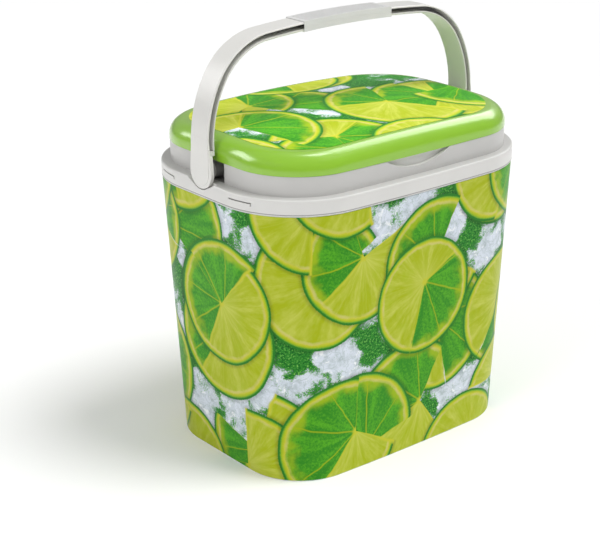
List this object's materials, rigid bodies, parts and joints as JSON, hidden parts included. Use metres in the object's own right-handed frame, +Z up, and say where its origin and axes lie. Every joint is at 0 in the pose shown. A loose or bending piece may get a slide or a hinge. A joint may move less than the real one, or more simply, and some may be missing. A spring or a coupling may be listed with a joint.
{
  "type": "cool box",
  "caption": "Insulated tapered picnic cool box with a lift-off domed lid, a grey rim collar, a swinging bail handle and a citrus slice print.",
  "frame": {"origin": "centre of the base, on the ground", "axes": "+Z up, the tallest way with the handle upright; +X along the long side; +Y towards the back"},
  "size_m": [0.396, 0.2908, 0.5001],
  "materials": {
    "shell_plastic": "moulded polypropylene, satin",
    "body_print": "in-mould printed film, citrus slice print",
    "foam": "expanded foam",
    "white_plastic": "smooth white polypropylene",
    "grey_plastic": "light warm grey polypropylene, satin",
    "grip_plastic": "slightly darker grey polypropylene, satin",
    "green_plastic": "glossy lime green polypropylene",
    "lid_print_film": "in-mould printed film, citrus slice print"
  },
  "bodies": {
    "box": {"outer_shell": "shell_plastic", "body_wrap": "body_print", "body_insulation": "foam", "inner_liner": "white_plastic", "rim_collar": "grey_plastic"},
    "handle": {"handle_bail": "grey_plastic", "grip_upper": "grip_plastic", "grip_lower": "grip_plastic"},
    "lid": {"lid_cover": "green_plastic", "lid_print": "lid_print_film", "lid_insulation": "foam", "lid_inner_panel": "white_plastic"}
  },
  "joints": [
    {"name": "handle_swing", "type": "hinge", "parent": "box", "child": "handle", "pos_m": [0, 0, 0.35], "axis": [1, 0, 0], "range_deg": [-45, 45]},
    {"name": "lid_lift", "type": "slide", "parent": "box", "child": "lid", "axis": [0, 0, 1], "range_m": [0, 0.013]}
  ]
}
